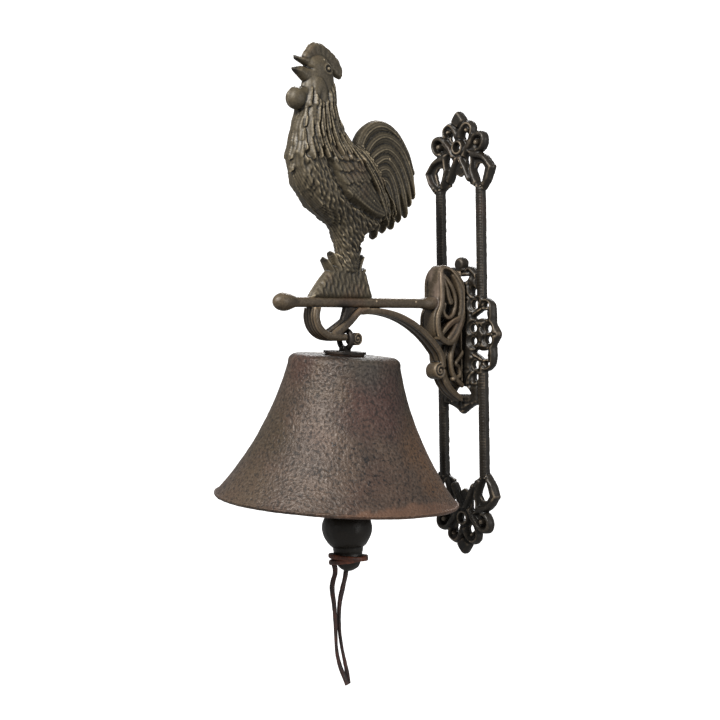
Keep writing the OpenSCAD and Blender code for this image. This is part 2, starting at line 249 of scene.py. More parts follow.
# ---------- Castings, as grids of signed distance ----------
class Block:
    """A box of space in mm with a grid of distances from the casting's surface."""

    def __init__(self, low, high):
        self.low = np.array(low, float)
        counts = np.ceil((np.array(high, float) - self.low) / GRID_STEP).astype(int) + 1
        runs = [self.low[i] + GRID_STEP * np.arange(counts[i]) for i in range(3)]
        self.x = runs[0][:, None, None]
        self.y = runs[1][None, :, None]
        self.z = runs[2][None, None, :]
        self.counts = counts

    def grain(self, size, height, seed):
        """Smooth seeded lumps of this size, like a sand mould leaves."""
        cells = np.ceil(self.counts * GRID_STEP / size).astype(int) + 2
        lumps = np.random.default_rng(seed).standard_normal(cells).astype(np.float32)
        for axis in range(3):
            place = np.arange(self.counts[axis]) * GRID_STEP / size
            first = place.astype(int)
            t = place - first
            t = (t * t * (3 - 2 * t)).astype(np.float32)
            form = [1, 1, 1]
            form[axis] = -1
            t = t.reshape(form)
            lumps = np.take(lumps, first, axis) * (1 - t) + np.take(lumps, first + 1, axis) * t
        return lumps * height

    def cast(self, name, dist):
        """The mesh of the surface where dist is 0."""
        reach = 3 * GRID_STEP
        dist = np.clip(dist, -FAR, FAR).astype(np.float32)
        slopes = np.gradient(dist, GRID_STEP)
        slope = np.sqrt(slopes[0] ** 2 + slopes[1] ** 2 + slopes[2] ** 2)
        dist = dist / np.maximum(slope, 0.7)
        dist = np.clip(dist, -reach, reach).astype(np.float32)
        for axis in range(3):
            for edge in (0, -1):
                index = [slice(None)] * 3
                index[axis] = edge
                dist[tuple(index)] = reach
        grid = openvdb.FloatGrid(reach)
        grid.copyFromArray(dist)
        points, _, quads = grid.convertToPolygons(isovalue=0.0, adaptivity=0.0)
        points = points * GRID_STEP + self.low
        corners = points[quads]
        normals = np.cross(corners[:, 2] - corners[:, 0], corners[:, 3] - corners[:, 1])
        if (corners.mean(axis=1) * normals).sum() < 0:
            quads = quads[:, ::-1]
        return grid_mesh(name, points, quads)


# ---------- Rooster: a side drawing with a half thickness at each point ----------
ROOSTER_BODY = [(-127, 172.5), (-126, 163), (-126, 152), (-124.5, 144), (-120, 135.5), (-113, 126.8),
                (-104, 126), (-94, 118), (-86, 104), (-82, 90), (-83, 78), (-92, 70), (-98.5, 67.5),
                (-104, 60), (-108.5, 50), (-109, 40), (-121, 40), (-122.5, 52), (-126.5, 68),
                (-133, 74.5), (-141, 79.5), (-151, 88), (-159, 98.5), (-161.5, 108), (-163, 116),
                (-159.5, 131), (-155.5, 146), (-153.5, 157), (-151, 166), (-149, 171), (-149.5, 178),
                (-146.5, 183), (-138, 185), (-130.5, 181)]
ROOSTER_COMB = [(-151.8, 180.5), (-151, 185), (-148, 188.5), (-145.5, 191.3), (-141, 193), (-136, 193),
                (-131, 191), (-126, 188), (-121, 184), (-117.8, 179), (-116.8, 174.5), (-118.5, 171),
                (-122.5, 171.3), (-127, 174), (-134, 178), (-143, 180)]
# Half thickness at some places: y, z, mm
ROOSTER_FULL = [(-140, 175, 7.0), (-139, 160, 8), (-140, 145, 9), (-143, 130, 10.5), (-144, 113, 12.5),
                (-134, 96, 14), (-118, 108, 14), (-112, 90, 14), (-98, 112, 10), (-92, 96, 9),
                (-88, 82, 7), (-115, 74, 9), (-115, 58, 5.5), (-115, 46, 4.2)]
# Tail feathers from the top one down: root, two places on the way, tip
TAIL = [[(-108, 116), (-99, 134), (-85, 141.5), (-70, 137), (-58, 124), (-50.5, 109.5)],
        [(-104, 114), (-93, 129), (-80, 134.5), (-66, 128.5), (-56, 114), (-50.8, 93.5)],
        [(-101, 112), (-90, 122), (-78, 126), (-66.5, 118.5), (-59, 105), (-54.8, 88)],
        [(-99, 108), (-88, 116.5), (-79, 119.5), (-70, 112.5), (-63, 99), (-59, 80.5)],
        [(-98, 102), (-88, 110), (-79, 112), (-72, 103.5), (-68, 90), (-65.8, 76.5)],
        [(-98, 96), (-88, 103), (-80, 104), (-75, 95), (-73.5, 83), (-73.2, 71)],
        [(-98, 92), (-90, 96), (-84, 94), (-81, 86), (-80.5, 77), (-81.6, 68.5)],
        [(-100, 88), (-95, 89), (-91, 84), (-89, 77), (-89.2, 70), (-90.6, 64)]]
# Lines that the neck's and the saddle's feathers follow, from the front one to the back one
NECK = [[(-151, 160), (-156, 146), (-158.5, 134), (-160.5, 124), (-162.5, 113)],
        [(-147, 161), (-149, 147.5), (-152, 136), (-152, 126), (-150.5, 115)],
        [(-143, 162), (-144.5, 147), (-146.8, 136.8), (-145.8, 126.7), (-143, 116)],
        [(-139, 163), (-139.8, 149), (-140, 134), (-138, 124), (-133.5, 114.5)],
        [(-135, 165), (-135, 150.5), (-133, 138), (-129.9, 128), (-125.5, 117)],
        [(-131.5, 166), (-130.5, 151), (-127.5, 136), (-122.5, 125.5), (-115.5, 115)],
        [(-128, 167), (-127, 151), (-123, 138), (-115, 126.5), (-108, 117)]]
SADDLE = [[(-117, 124), (-104.5, 110.5), (-94, 96), (-86.5, 83), (-82, 73)],
          [(-110, 125.5), (-98.5, 112), (-88, 99.5), (-80.5, 87), (-76.5, 75)],
          [(-102, 126), (-91.5, 114.5), (-83, 101.8), (-75.5, 89), (-71, 79)]]
WING_FRONT = [(-142, 128), (-139, 117), (-135, 107), (-129.5, 98), (-122.5, 91), (-111, 85.5),
              (-99.5, 81), (-88, 78.8)]
WING_BACK = [(-84, 82), (-92, 91.5), (-99, 101), (-107, 111), (-115, 121)]
# Ends of the neck's feathers that stand out at the front edge: root, tip
TUFTS = [((-152.5, 148), (-159.6, 131)), ((-154, 140), (-162, 123)),
         ((-155.5, 132), (-164, 114)), ((-154.5, 123), (-163.6, 106))]
# Leaves of the mound under the bird: root, tip
LEAVES = [((-124, 33), (-136.5, 50.5)), ((-107, 33), (-99.5, 44)), ((-120, 34), (-130.3, 55)),
          ((-108, 34), (-101, 53)), ((-110, 36), (-103.5, 59.5)), ((-118, 34), (-124, 53)),
          ((-112, 34), (-107.5, 53)), ((-116, 32), (-117.5, 49))]


def lines_point(lines, across, down):
    """A point between lines, across from 0 to 1 and down counted in their points."""
    lines = np.array(lines, float)
    place = min(max(across, 0), 1) * (len(lines) - 1)
    first = min(int(place), len(lines) - 2)
    line = lines[first] * (1 - place + first) + lines[first + 1] * (place - first)
    step = min(max(int(down), 0), len(line) - 2)
    return line[step] + (line[step + 1] - line[step]) * (down - step)


def lay_feather(relief, y, z, spine, width, low, high, quill=0.3, barb=0.12, lance=True, lines=0.0):
    """Lays one feather over the relief: low at its root, high near its tip."""
    spine = np.asarray(spine, float)
    reach = width + 2
    rows = slice(*np.searchsorted(y[:, 0], [spine[:, 0].min() - reach, spine[:, 0].max() + reach]))
    cols = slice(*np.searchsorted(z[0], [spine[:, 1].min() - reach, spine[:, 1].max() + reach]))
    gap, part, side = along(y[rows], z[:, cols], spine)
    length = np.hypot(*(spine[1:] - spine[:-1]).T).sum()
    if lance:
        form = np.clip(part * 2.2, 0, 1) ** 0.5 * np.clip(1 - part ** 5, 0, 1) ** 0.6
    else:
        form = (0.72 + 0.28 * np.sin(math.pi * part)) * np.clip(1 - part ** 4.5, 0, 1) ** 0.85
    half = np.maximum(width * form, 0.05)
    q = np.clip(gap / half, 0, 1)
    lift = low + (high - low) * part ** 0.7
    top = lift * (0.45 + 0.55 * np.sqrt(1 - q * q))
    top = top + quill * np.exp(-(side / 0.8) ** 2)
    top = top + barb * np.sin(2 * math.pi * (part * length - np.abs(side) * 0.9) / 2.6)
    top = top + lines * np.cos(2 * math.pi * side / 1.8)
    area = relief[rows, cols]
    relief[rows, cols] = np.where((gap < half) & (top > 0), top, area)


def feather_rows(relief, y, z, lines, rows, count, width, high, quill=0.3, seed=0):
    """Rows of long feathers, the lowest row first, each a little out of line."""
    rng = np.random.default_rng(seed)
    for row, (start, stop) in enumerate(rows):
        for i in rng.permutation(count):
            across = (i + 0.5 * (row % 2)) / (count - 0.5) + rng.uniform(-0.02, 0.02)
            shift = rng.uniform(-0.32, 0.32)
            downs = np.linspace(start + shift * 0.6, stop + shift, 5)
            spots = [lines_point(lines, across, down) for down in downs]
            lay_feather(relief, y, z, curve(spots, 3), width * rng.uniform(0.85, 1.1), 0.2,
                        high * rng.uniform(0.85, 1.1), quill)


def speckle(relief, y, z, inside, seed):
    """Small long bumps that run with the breast's down."""
    rng = np.random.default_rng(seed)
    for spot_z in np.arange(42, 134, 2.9):
        for spot_y in np.arange(-163, -84, 2.3):
            at = np.array([spot_y, spot_z]) + rng.uniform(-0.8, 0.8, 2)
            row, col = np.searchsorted(y[:, 0], at[0]), np.searchsorted(z[0], at[1])
            if not inside[min(row, len(y) - 1), min(col, z.shape[1] - 1)]:
                continue
            turn = math.radians(-62 + 20 * (at[0] + 140) / 40 + rng.uniform(-12, 12))
            rows, cols = slice(row - 8, row + 9), slice(col - 8, col + 9)
            dy, dz = y[rows] - at[0], z[:, cols] - at[1]
            p = dy * math.cos(turn) + dz * math.sin(turn)
            q = dz * math.cos(turn) - dy * math.sin(turn)
            size = rng.uniform(0.9, 1.7)
            relief[rows, cols] += size * np.exp(-(p / 2.0) ** 2 - (q / 0.75) ** 2)


def rooster_side(y, z):
    """Half thickness of the rooster, negative outside its outline."""
    body = shape(y, z, curve(ROOSTER_BODY, 5, closed=True))
    near = [np.exp(-((y - at_y) ** 2 + (z - at_z) ** 2) / 13 ** 2) for at_y, at_z, _ in ROOSTER_FULL]
    full = sum(share * place[2] for share, place in zip(near, ROOSTER_FULL)) / (1e-9 + sum(near))
    height = full * dome(-body, full * 1.15)
    # Tail, one feather over the other
    tail = np.zeros_like(height)
    for i, spine in enumerate(TAIL):
        line = curve(spine, 5)
        lay_feather(tail, y, z, line, 4.5 if i < 5 else 3.8, 5.8 - 0.15 * i, 3.0 + 0.12 * i,
                    0.6, 0.0, lance=False, lines=0.32)
    height = np.maximum(height, tail)
    outline = np.minimum(body, np.where(tail > 0, -0.5, FAR))
    for root, tip in TUFTS:
        tuft = np.zeros_like(height)
        lay_feather(tuft, y, z, [root, (np.array(root) + np.array(tip)) / 2, tip], 2.0, 5.4, 2.4, 0.3, 0)
        height = np.maximum(height, tuft)
        outline = np.minimum(outline, np.where(tuft > 0, -0.5, FAR))
    # Comb, beak and wattle
    comb = shape(y, z, curve(ROOSTER_COMB, 5, closed=True))
    ribs = 0.35 * np.sin(np.arctan2(z - 176, y + 135) * 17)
    comb_height = 2.9 * dome(-comb - 0.2 + np.minimum(ribs, 0), 2.4)
    comb_height = comb_height + np.where(comb < -1, 0.12 * ribs, 0)
    upper = shape(y, z, [(-142, 184), (-151, 182.5), (-159.5, 182), (-158.5, 180), (-150, 176.6),
                         (-144, 174)])
    lower = shape(y, z, [(-144, 177), (-150, 176), (-155, 175.5), (-161.5, 173.8), (-158, 170.8),
                         (-151.5, 166), (-143, 165)])
    wattle = union(dot(y, z, (-157.6, 154.3), 7.4), dot(y, z, (-151.5, 157), 5.4),
                   dot(y, z, (-146.5, 159), 5.0), blend=2.5)
    for part, half, edge in ((comb, comb_height, 0), (upper, 3.4, 3.5), (lower, 3.8, 4),
                             (wattle, 6.4, 6.5)):
        rise = half if edge == 0 else half * dome(-part, edge)
        height = np.maximum(height, np.where(part < 0, rise, 0))
        outline = np.minimum(outline, part)
    # The beak and the wattle grow out of the face without a step
    soft = blur(height, 14)
    for at, reach in (((-148.5, 174.5), 3.4), ((-149.6, 156.5), 5.0)):
        share = np.exp(-((y - at[0]) ** 2 + ((z - at[1]) / 1.8) ** 2) / reach ** 2)
        height = np.where(outline < -0.6, height + (soft - height) * share, height)
    # Relief on the body
    relief = np.zeros_like(height)
    wing = shape(y, z, curve(WING_FRONT, 4).tolist() + WING_BACK)
    downy = (body < -0.5) & (wing > 1.0) & (z < 124)
    speckle(relief, y, z, downy, 3)
    relief *= 1 + 0.7 * np.exp(np.minimum(body, 0) / 5)
    plateau = np.where(wing < 0, 1.3 * dome(-wing, 2.5), 0)
    relief = relief * (wing > 0)
    rng = np.random.default_rng(73)
    for row in range(6):
        for i in range(7):
            root = lines_point([WING_FRONT[:7], [(-117, 122), (-112, 117), (-107, 111), (-102, 105),
                                                 (-97, 98), (-92, 91), (-88, 84)]],
                               (i + 0.5 * (row % 2)) / 7, 5.6 - row)
            root = root + rng.uniform(-1.3, 1.3, 2)
            way = np.array([5.5, -6.5]) * rng.uniform(0.8, 1.15)
            lay_feather(relief, y, z, [root - way * 0.3, root + way * 0.3, root + way * 0.8], 2.3,
                        0.1, 1.7, 0.3, 0)
    for i in range(4):
        start = lines_point([WING_FRONT[2:7], WING_BACK[::-1]], 0.06 + 0.17 * i, 1.2)
        stop = np.array([-87.0 - 1.5 * i, 79.5 + 2.2 * i])
        mid = (start + stop) / 2 + np.array([-2.5, -3.0]) * (1 - i * 0.3)
        lay_feather(relief, y, z, curve([start, mid, stop], 5), 2.2, 0.4, 1.5, 0.35)
    edge = curve(WING_FRONT, 4)
    relief = relief + plateau + ridge(y, z, edge, 1.0, 1.1)
    relief -= ridge(y, z, edge + np.array([-2.2, -1.6]), 3.0, 1.9)
    relief -= ridge(y, z, [(-112, 119), (-103, 107), (-95, 96), (-87.5, 85)], 2.0, 2.0)
    feather_rows(relief, y, z, SADDLE, [(1.2, 4.0), (0.6, 3.3), (0.0, 2.4)], 6, 1.5, 3.4, 0.9, 71)
    feather_rows(relief, y, z, NECK, [(2.0, 4.1), (1.3, 3.5), (0.7, 2.8), (-0.1, 2.0)], 9, 1.8,
                 3.3, 0.9, 72)
    # Long dark gaps between the feathers
    for lines, gaps, first, deep in ((NECK, 8, 0.9, 2.2), (SADDLE, 4, 0.3, 1.6)):
        for i in range(gaps):
            gap = [lines_point(lines, (i + 0.6) / (gaps + 0.2), first + (3.9 - first) * j / 9)
                   for j in range(10)]
            relief -= ridge(y, z, gap, deep, 0.8)
    # Head: smooth face, eye, ear lobe
    face = oval(y, z, (-141, 171), 10.5, 13, 8)
    keep = np.clip(face / 2 + 0.5, 0, 1)
    relief = relief * keep
    lobe = oval(y, z, (-142.5, 160.5), 5.2, 8.5, 15)
    relief = np.where(lobe < 1, relief * np.clip(lobe + 0.5, 0, 1) + 1.2 * dome(-lobe, 3), relief)
    relief -= 1.3 * np.exp(-((y + 143) / 2.0) ** 2 - ((z - 155.5) / 3.2) ** 2)
    eye = np.hypot(y + 134.9, (z - 175.1) * 1.15)
    relief += 0.9 * np.exp(-((eye - 3.6) / 0.9) ** 2) - 0.8 * np.exp(-((eye - 2.2) / 0.7) ** 2)
    relief += 1.3 * dome(1.5 - eye, 1.5)
    relief -= 0.9 * np.exp(-((y + 148.6) / 0.9) ** 2 - ((z - 158) / 0.9) ** 2)
    relief -= ridge(y, z, [(-160, 178.3), (-152, 176.6), (-147, 174.5)], 1.8, 0.8)
    relief += ridge(y, z, [(-118, 66), (-114.5, 40)], 0.8, 1.2) * (z < 64)
    relief = np.where(height > 0, relief * dome(height, 3.0), 0)
    height = height + relief
    # Mound of leaves
    mound = shape(y, z, [(-150, 23), (-147, 28), (-141, 34.8), (-135, 41), (-128, 45), (-118, 46),
                         (-106, 45), (-99, 41), (-96, 32), (-93, 23)])
    mound_height = 4.6 * dome(-mound, 4)
    rough = 0.5 * np.sin(y * 1.5 + 0.6 * np.sin(z * 0.7)) * np.sin(z * 0.45 + 0.3 * y)
    mound_height = mound_height + np.where(mound < -1, rough, 0)
    leaves = np.zeros_like(height)
    for root, tip in LEAVES:
        bend = np.array([(tip[1] - root[1]) * 0.08, abs(tip[0] - root[0]) * -0.12])
        mid = (np.array(root) + np.array(tip)) / 2 + bend * np.sign(root[0] - tip[0])
        lay_feather(leaves, y, z, curve([root, mid, tip], 5), 2.6, 4.4, 4.0, 0.6, 0.0, lance=False)
    outline = np.minimum(outline, np.minimum(mound, np.where(leaves > 0, -0.5, FAR)))
    height = np.maximum(height, np.maximum(mound_height, leaves))
    height = blur(height, 1)
    return np.where(height > 0.02, height, -np.clip(outline, 0.25, FAR))


def make_rooster():
    block = Block((-19, -168, 22.5), (19, -45, 196))
    y, z = block.y[0], block.z[0]
    side = rooster_side(y, z)
    dist = np.abs(block.x) - side[None].astype(np.float32)
    # Strands and flecks that run on round the front of the neck and breast
    front = shape(y, z, curve(ROOSTER_BODY, 5, closed=True))
    front = np.exp(-(front / 4.5) ** 2) * (y < -112)
    front = front * np.clip((z - 40) / 8, 0, 1) * np.clip((152 - z) / 5, 0, 1)
    upper = np.clip((z - 104) / 6, 0, 1)
    x = block.x
    strands = np.sin(x * 2.1 + 0.9 * np.sin(z / 4.1)[None]) + 0.5 * np.sin(z / 1.9 + x * 0.8)
    flecks = 1.6 * np.sin(x * 2.3 + 1.5 * np.sin(z / 3.3)[None]) * np.sin(z / 1.25 + x * 0.9)
    dist = dist + 0.42 * front[None] * (strands * upper[None] + flecks * (1 - upper)[None])
    dist = dist + block.grain(2.2, 0.07, 5)
    return block.cast("rooster_casting", dist)


# ---------- Wall plate: a front drawing with a height at each point ----------
def plate_end(u, v):
    """Outline of the upper end ornament and its raised scrolls, for the right half."""
    holes = union(
        oval(u, v, (6.5, 141.4), 2.1, 3.0),
        oval(u, v, (9.4, 123.6), 2.4, 4.6),
        shape(u, v, [(15.6, 116.5), (17.8, 120.4), (21.8, 120.4), (24.4, 116.8), (21.4, 107.6),
                     (18.8, 107.6)]))
    scrolls = union(
        shape(u, v, curve([(-6.6, 150.6), (-5, 155.6), (0, 160), (5, 155.6), (6.6, 150.6),
                           (0, 147)], 5, closed=True)),
        band(u, v, curve([(1, 138.5), (2.5, 144.8), (8, 149.6), (13, 147.2), (13.2, 142.4)]), 2.5, 2.0),
        dot(u, v, (8.8, 144.8), 2.1),
        np.abs(dot(u, v, (0, SCREW_Z), 4.6)) - 1.7,
        band(u, v, curve([(6.5, 130.5), (12, 136.4), (17.5, 141.2), (23, 140.8), (24.8, 136.4),
                          (22.4, 131.6), (18.5, 130)]), 2.6, 2.2),
        dot(u, v, (18.4, 135.4), 2.6),
        band(u, v, curve([(5, 129), (14, 127.4), (24, 124.6), (31.4, 117)]), 3.0, 1.9),
        band(u, v, [(31.4, 116.8), (28.2, 109.5), (22.8, 103.5)], 1.9, 2.6),
        band(u, v, curve([(13.6, 127.5), (12.6, 118), (14.8, 110), (18.4, 103)]), 2.0, 2.4),
        band(u, v, curve([(1, 127), (6, 117.6), (9.6, 110.5)]), 2.2, 2.4),
        blend=0.5)
    web = union(
        dot(u, v, (0, SCREW_Z), 8.6),
        dot(u, v, (8.4, 145.2), 7.4),
        dot(u, v, (19.2, 135.4), 7.2),
        shape(u, v, [(-1, 152), (8, 144), (14, 138), (15.5, 128), (24, 124.5), (31.6, 116.6),
                     (22.5, 103), (17, 103), (9.8, 106.6), (9.6, 112), (5.5, 115.4), (0, 112.4),
                     (-1, 112.4)]),
        blend=0.5)
    return np.maximum(np.minimum(web, scrolls), -holes), scrolls


def plate_middle(u, v, low):
    """The middle ornament, for the right half; low is where its lower half is."""
    holes = union(
        shape(u, v, [(12.6, 12.4), (16.4, 14.6), (20, 16.8), (24.8, 17.4), (26.2, 11.2), (19.6, 11.8),
                     (14.5, 10.6)]),
        oval(u, v, (14.2, 21.6), 2.7, 2.9),
        oval(u, v, (25.0, 20.8), 1.7, 1.3),
        dot(u, v, (12.6, 4.6), 2.5),
        dot(u, v, (26.6, 4.0), 2.7),
        oval(u, v, (13.8, 30.4), 2.2, 2.8))
    solid = union(
        shape(u, v, [(-1, 37), (17, 37), (17, 24), (-1, 24)]),
        band(u, v, curve([(19.5, 24.3), (25.4, 23.4), (29.2, 20), (30.1, 14), (29.4, 9.5)]), 2.4, 2.3),
        dot(u, v, (24.0, 18.8), 3.2),
        band(u, v, curve([(29.4, 9.5), (30.6, 5.8), (32.6, 2.6), (34.2, 0)]), 2.4, 2.8),
        shape(u, v, [(-1, 26), (22, 26), (28, 19), (28.6, 8), (33, 0), (33, -2), (-1, -2)]),
        blend=0.6)
    top = union(
        dot(u, v, (0, 51.0), 5.4),
        band(u, v, [(0, 45.6), (5.5, 46.4)], 2.8, 2.0),
        band(u, v, curve([(3, 44), (8.6, 47.4), (13.4, 44.4), (17.4, 40.2)]), 1.9, 2.2),
        blend=0.6)
    top = union(top, shape(u, v, [(-1, 46), (8, 46), (17, 40), (17, 34), (-1, 34)]))
    top = np.maximum(top, -shape(u, v, [(-1, 42.2), (8.4, 42.2), (7, 40), (4.6, 38.6), (-1, 38.6)]))
    foot = shape(u, v, [(-1, 57.4), (1.2, 56.8), (5, 54), (10, 51.4), (14, 50.2), (17.4, 50),
                       (17.4, 36), (-1, 36)])
    foot = np.maximum(foot, -shape(u, v, [(-1, 42.6), (8.6, 42.6), (7.2, 39.8), (4.4, 37.6),
                                          (-1, 36.6)]))
    return np.maximum(np.minimum(solid, np.where(low, foot, top)), -holes)


def ring_relief(u, v, at, radius, height, soft=0.7):
    """A raised ring with this height in mm."""
    return height * np.exp(-((np.hypot(u - at[0], v - at[1]) - radius) / soft) ** 2)


def make_plate():
    block = Block((-39, -9, -163), (39, 1.5, 163))
    x, z = block.x[:, 0], block.z[0]
    u, v = np.abs(x), np.abs(z)
    mid_v = np.abs(z - MIDDLE_Z)
    across = np.abs(u - RAIL_X)
    notch = 0.5 - 0.5 * np.cos(math.pi * v)
    rail = np.maximum(across - RAIL_HALF + 0.05 * notch, np.maximum(v - 106, 20 - mid_v))
    end, scrolls = plate_end(u, v)
    low = z < MIDDLE_Z
    middle = plate_middle(u, mid_v, low)
    outline = union(end, middle, rail, blend=0.6)
    front = 2.2 + 3.8 * dome(-outline, 2.8)
    raised = 3.0 + 3.2 * dome(-scrolls, 2.0)
    front = np.where(v > 100, np.minimum(front + 0.4, raised), front)
    # Rails: rounded, with fine notches across them
    on_rail = (across < 3.5) & (v < 104) & (mid_v > 27.5)
    on_rail &= ~(low & (mid_v < 52) & (u < RAIL_X - 1))
    rails = 3.4 + 2.4 * dome(3.5 - across, 3.2) - 0.18 * notch
    # Curls, beads and rings of the end ornaments
    for at, radius in (((9, 145.6), 3.0), ((18.6, 135.4), 3.5)):
        front = front - ring_relief(u, v, at, radius, 1.9)
        front = front + 0.9 * dome(2.4 - np.hypot(u - at[0], v - at[1]), 2.4)
    front = front + ring_relief(u, v, (0, SCREW_Z), 3.9, 0.9, 0.8)
    front = front - ring_relief(u, v, (0, SCREW_Z), 6.3, 1.6)
    for points in ([(0, 147.2), (4.4, 150.4), (7.6, 152.4)], [(15.4, 103.4), (19.8, 108)],
                   [(24.2, 103.4), (19.8, 108)]):
        front = front - ridge(u, v, curve(points), 1.5)
    # Scrolls of the middle ornament
    for at, radius in (((14.2, 21.6), 4.6), ((24.0, 19.8), 3.6), ((12.6, 4.6), 4.3), ((26.6, 4.0), 4.4)):
        front = front - ring_relief(u, mid_v, at, radius, 1.6)
    front = front - ring_relief(u, mid_v, (0, 51.0), 6.4, 1.4) * ~low
    for points in ([(0, 44.6), (6.5, 45.2), (13.4, 40)], [(4.6, 36.4), (9, 40.6), (9.4, 42.6)]):
        front = front - ridge(u, mid_v, curve(points), 1.2) * ~low
    for points in ([(10, 44), (9.4, 36), (10.5, 29)], [(3.4, 40), (6, 31), (10.5, 26)],
                   [(18.8, 26), (19.4, 21.6), (18.6, 18.4)], [(11, 14.6), (17, 18.4), (24, 20.2)],
                   [(12.5, 9.4), (18, 10), (25, 9.4)], [(17, 2.4), (19.8, 6.4), (22, 2.4)],
                   [(31.6, 0), (34.6, 0)]):
        front = front - ridge(u, mid_v, curve(points), 1.5)
    for points in ([(0, 47), (6, 49), (12, 47.4)], [(0, 54), (5, 53), (10, 49.6)]):
        front = front - ridge(u, mid_v, curve(points), 1.2) * low
    front = blur(np.clip(front, 1.6, 6.9), 2)
    front = np.where(on_rail, rails, front)
    outline = np.maximum(outline, 2.35 - np.hypot(x, v - SCREW_Z))
    dist = np.maximum(outline[:, None, :], block.y)
    dist = soft_max(dist, -block.y - front[:, None, :], 0.5)
    # Bolt holes, with recesses for the heads in the back
    for bolt_z in BOLT_HEIGHTS:
        from_axis = np.hypot(x, z - bolt_z)[:, None, :]
        recess = np.maximum(from_axis - 5.25, -block.y - 2.8)
        dist = np.maximum(dist, -np.minimum(recess, from_axis - BOLT_HOLE_R))
    return block.cast("wall_plate_casting", dist + block.grain(2.4, 0.06, 11))


# ---------- Bracket: side drawings spread across the view ----------
def spread(block, side, half_width, edge, flute=None):
    """A side drawing spread to this half width, with rounded edges and lengthwise flutes."""
    across = np.abs(block.x)
    side = side[None]
    if flute is not None:
        side = side + flute(across)
    return soft_max(side, across - half_width, edge * 1.35)


def two_flutes(across):
    """Two grooves along a strap's face."""
    return 0.75 * np.exp(-((across - 2.5) / 0.9) ** 2)


def fine_flutes(across):
    """Fine grooves all over a strap's face."""
    return 0.45 * (0.5 - 0.5 * np.cos(across * 2 * math.pi / 2.6))


def spiral(at, outer, inner, turns, start):
    """A wound line, as a run of points."""
    sweep = np.linspace(0, turns * 2 * math.pi, int(turns * 20))
    radius = outer + (inner - outer) * sweep / sweep[-1]
    turn = start + sweep
    return np.stack([at[0] + radius * np.cos(turn), at[1] + radius * np.sin(turn)], 1)


def make_bracket():
    block = Block((-11, -184, -54), (11, -8, 50))
    y, z = block.y[0], block.z[0]
    x = block.x
    bar = np.maximum(np.abs(y + 101) - 72, np.abs(z - BAR_Z) - 3.5)
    dist = spread(block, bar, 4.0, 2.2, lambda a: 0.35 * np.exp(-((a - 1.9) / 0.7) ** 2))
    knob = np.sqrt(x ** 2 + ((y + 170.9) / 1.38) ** 2 + (z - BAR_Z) ** 2) - 6.1
    dist = soft_min(dist, knob, 2.6)
    club = np.sqrt((x / 1.05) ** 2 + ((y + 36) / 1.7) ** 2 + (z - BAR_Z) ** 2) - 4.8
    dist = soft_min(dist, club, 2.0)
    tight = (-43.5, -22.9)
    brace = band(y, z, curve(arc((-94, -70), 85, 97, 43, 12), 2).tolist()
                 + arc(tight, 16, 40, 0, 8).tolist(), 2.0, 2.3)
    dist = soft_min(dist, spread(block, brace, 6.0, 1.2, two_flutes), 1.4)
    roll_at = (-30.4, -26.9)
    roll = dot(y, z, roll_at, 6.0)
    coil = ridge(y, z, spiral(roll_at, 5.0, 1.0, 1.6, 0.3), 1.0, 0.7)[None]
    dist = soft_min(dist, soft_max(roll[None], np.abs(x) - 5.4 + coil, 2.4), 0.9)
    hanger = band(y, z, curve([(-145.5, 19), (-147, 11), (-144.6, 4), (-138, -1), (-130, ROD_Z),
                               (-122, ROD_Z)]), 2.9, 2.3)
    hanger = np.maximum(hanger, z - 17.4)
    dist = soft_min(dist, spread(block, hanger, 6.4, 1.4, fine_flutes), 1.0)
    strap = band(y, z, curve([(-101, 18), (-108, 14.5), (-117.5, 7), (-130, -0.5)]), 2.0, 3.0)
    strap = np.maximum(strap, z - 17.2)
    dist = soft_min(dist, spread(block, strap, 6.0, 1.4, two_flutes), 1.2)
    web = shape(y, z, [(-118, 18), (-121, 9.5), (-128, 4), (-134, 0.5), (-131, -1.5), (-117, 6),
                       (-104, 18)])
    dist = soft_min(dist, spread(block, web, 2.0, 0.8), 0.6)
    rod = np.maximum(np.hypot(x, z - ROD_Z) - 2.4, np.maximum(-123 - y, y + 107))
    dist = soft_min(dist, rod, 1.4)
    curl_at = (-109.3, -3.9)
    coil = ridge(y, z, spiral(curl_at, 3.8, 0.8, 1.5, 2.0), 0.9)[None]
    curl = soft_max(dot(y, z, curl_at, 4.3)[None], np.abs(x) - 4.5 + coil, 0.9)
    dist = soft_min(dist, curl, 0.9)
    dist = soft_min(dist, bracket_scroll(block, y, z), 1.0)
    back = np.maximum(np.maximum(z - 44, -35.5 - z), np.maximum(-9.5 - y, y + 6))
    dist = soft_min(dist, soft_max(back[None], np.abs(x) - 5.6, 2.0), 1.6)
    foot = band(y, z, curve([(-14, -3), (-18.6, -12.5), (-20.2, -21), (-18.6, -28.6), (-14, -34),
                             (-8.5, -38)]), 1.9, 1.6)
    heel = band(y, z, curve([(-27, -29), (-23.6, -35.5), (-18, -41.5), (-11, -46), (-6, -48.5)]),
                2.8, 2.0)
    dist = soft_min(dist, spread(block, heel, 5.4, 1.4, two_flutes), 0.9)
    knot = band(y, z, curve([(-18, -33), (-11.5, -30.6), (-12, -25), (-15.4, -22), (-12, -18.6),
                             (-8, -14)]), 1.5, 1.5)
    dist = soft_min(dist, spread(block, union(foot, knot), 6.6, 1.2, two_flutes), 0.9)
    for bolt_z in BOLT_HEIGHTS:
        dist = np.maximum(dist, np.minimum(BOLT_HOLE_R - np.hypot(x, z - bolt_z), y + 13))
    dist = np.maximum(dist, y + PLATE_T)
    return block.cast("bracket_casting", dist + block.grain(2.4, 0.03, 17))


